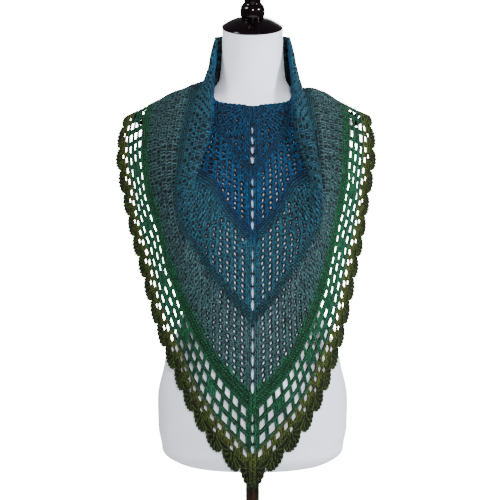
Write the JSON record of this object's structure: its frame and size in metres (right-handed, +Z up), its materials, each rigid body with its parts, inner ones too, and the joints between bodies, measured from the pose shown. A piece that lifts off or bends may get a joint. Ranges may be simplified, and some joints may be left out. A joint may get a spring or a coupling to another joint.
{
  "type": "shawl on a dress form",
  "caption": "Crocheted triangular shawl worn point-down over the front of a limbless dress form with a capped neck, on a pole with a round base.",
  "frame": {"origin": "centre of the round base's flat underside", "axes": "+Z up, the form's front towards -Y, the form's left arm side towards +X"},
  "size_m": [0.4448, 0.37, 1.5593],
  "materials": {
    "jersey": "fine white jersey",
    "black_wood": "gloss lacquer",
    "body_yarn": "crocheted blue to grey-green gradient yarn",
    "filet_yarn": "open square mesh in green yarn",
    "edging_yarn": "shell edging in olive yarn"
  },
  "bodies": {
    "root": {"torso": "jersey", "neck_cap": "black_wood", "pole": "black_wood", "base": "black_wood", "spine": "body_yarn", "body_left": "body_yarn", "body_right": "body_yarn", "filet_left": "filet_yarn", "filet_right": "filet_yarn", "edging_left": "edging_yarn", "edging_right": "edging_yarn"}
  },
  "joints": []
}
